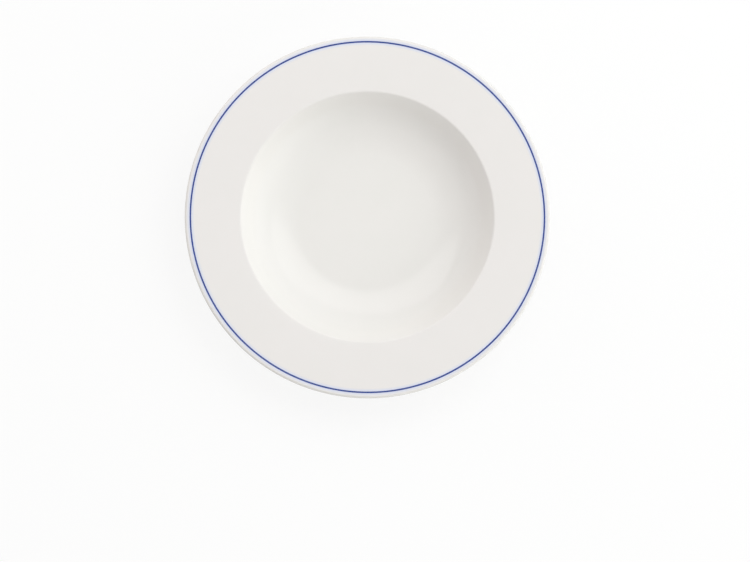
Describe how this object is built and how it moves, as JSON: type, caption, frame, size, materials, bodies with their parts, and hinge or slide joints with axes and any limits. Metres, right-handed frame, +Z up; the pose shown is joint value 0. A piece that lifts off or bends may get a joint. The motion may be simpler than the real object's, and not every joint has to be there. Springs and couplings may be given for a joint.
{
  "type": "rimmed soup plate",
  "caption": "Round rimmed soup plate in white glazed porcelain with a deep well, a foot ring and a thin blue line round the rim.",
  "frame": {"origin": "centre of the foot ring's tread, on the plane that the plate stands on", "axes": "+Z up along the axis that the plate was turned about, out of the well; X and Y are alike"},
  "size_m": [0.23, 0.23, 0.0296],
  "materials": {
    "fired_porcelain": "matte",
    "clear_glaze": "gloss",
    "recess_glaze": "gloss",
    "cobalt_line": "gloss"
  },
  "bodies": {
    "root": {"plate_body": "fired_porcelain", "glaze_coat": "clear_glaze", "foot_glaze": "recess_glaze", "rim_line": "cobalt_line"}
  },
  "joints": []
}
